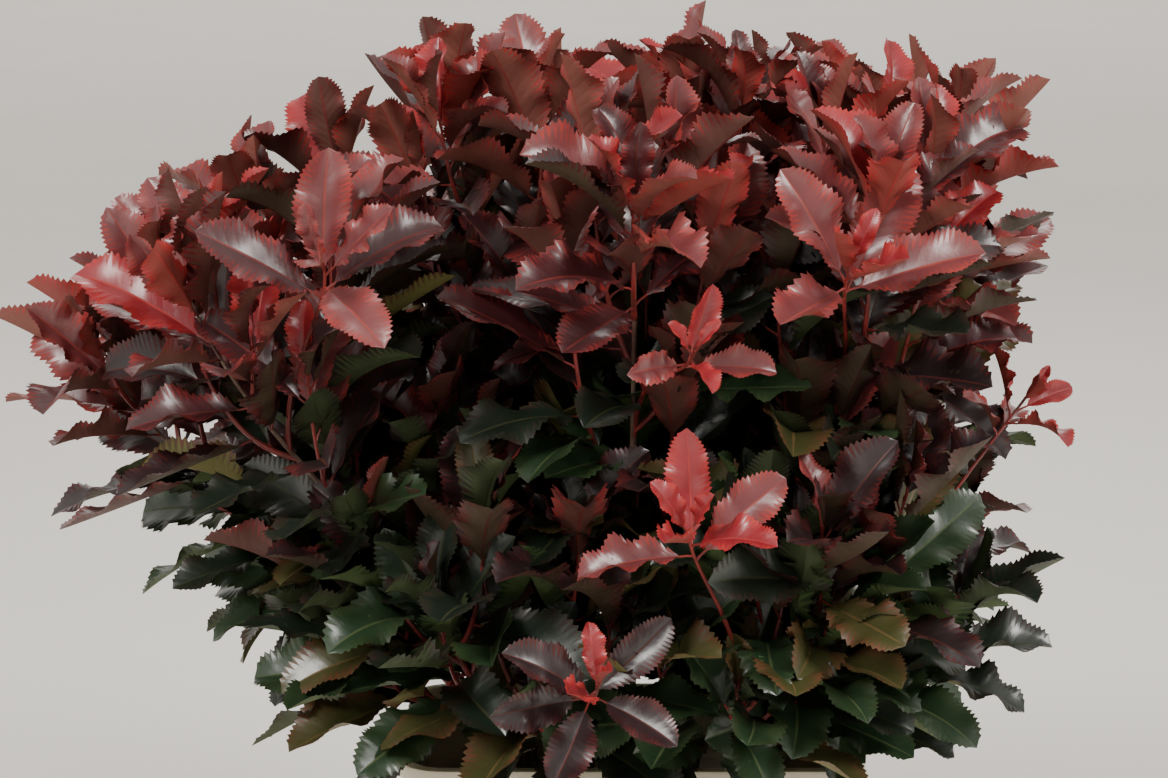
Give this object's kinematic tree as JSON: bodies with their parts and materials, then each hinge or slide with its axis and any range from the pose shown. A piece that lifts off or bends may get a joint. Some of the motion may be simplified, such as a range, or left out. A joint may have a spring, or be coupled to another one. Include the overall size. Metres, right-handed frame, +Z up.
{
  "type": "cut shrub branches in a tub",
  "caption": "Leafy cut shrub branches with glossy toothed leaves, red at the tips and dark green lower down, standing as one full bunch in a rectangular cream plastic tub.",
  "frame": {"origin": "centre of the tub's flat underside", "axes": "+X to the viewer's right along the tub's long side, +Y away from the viewer, +Z up"},
  "size_m": [0.9776, 0.7216, 0.8821],
  "materials": {
    "cream_plastic": "moulded, slight sheen",
    "orange_tab": "moulded, plain",
    "bark": "smooth young bark",
    "red_foliage": "glossy leaf",
    "green_foliage": "glossy leaf"
  },
  "bodies": {
    "root": {"tub": "cream_plastic", "tab_left": "orange_tab", "tab_right": "orange_tab", "stem_tall_1": "bark", "foliage_tall_1": "red_foliage", "stem_tall_2": "bark", "foliage_tall_2": "red_foliage", "stem_tall_3": "bark", "foliage_tall_3": "red_foliage", "stem_tall_4": "bark", "foliage_tall_4": "red_foliage", "stem_tall_5": "bark", "foliage_tall_5": "red_foliage", "stem_tall_6": "bark", "foliage_tall_6": "red_foliage", "stem_tall_7": "bark", "foliage_tall_7": "red_foliage", "stem_tall_8": "bark", "foliage_tall_8": "red_foliage", "stem_tall_9": "bark", "foliage_tall_9": "red_foliage", "stem_tall_10": "bark", "foliage_tall_10": "red_foliage", "stem_short_1": "bark", "foliage_short_1": "green_foliage", "stem_short_2": "bark", "foliage_short_2": "green_foliage", "stem_short_3": "bark", "foliage_short_3": "green_foliage", "stem_short_4": "bark", "foliage_short_4": "green_foliage", "stem_low_1": "bark", "foliage_low_1": "green_foliage", "stem_low_2": "bark", "foliage_low_2": "green_foliage", "stem_low_3": "bark", "foliage_low_3": "green_foliage", "stem_low_4": "bark", "foliage_low_4": "green_foliage", "stem_low_5": "bark", "foliage_low_5": "green_foliage", "stem_low_6": "bark", "foliage_low_6": "green_foliage", "stem_low_7": "bark", "foliage_low_7": "green_foliage", "stem_low_8": "bark", "foliage_low_8": "green_foliage"}
  },
  "joints": []
}
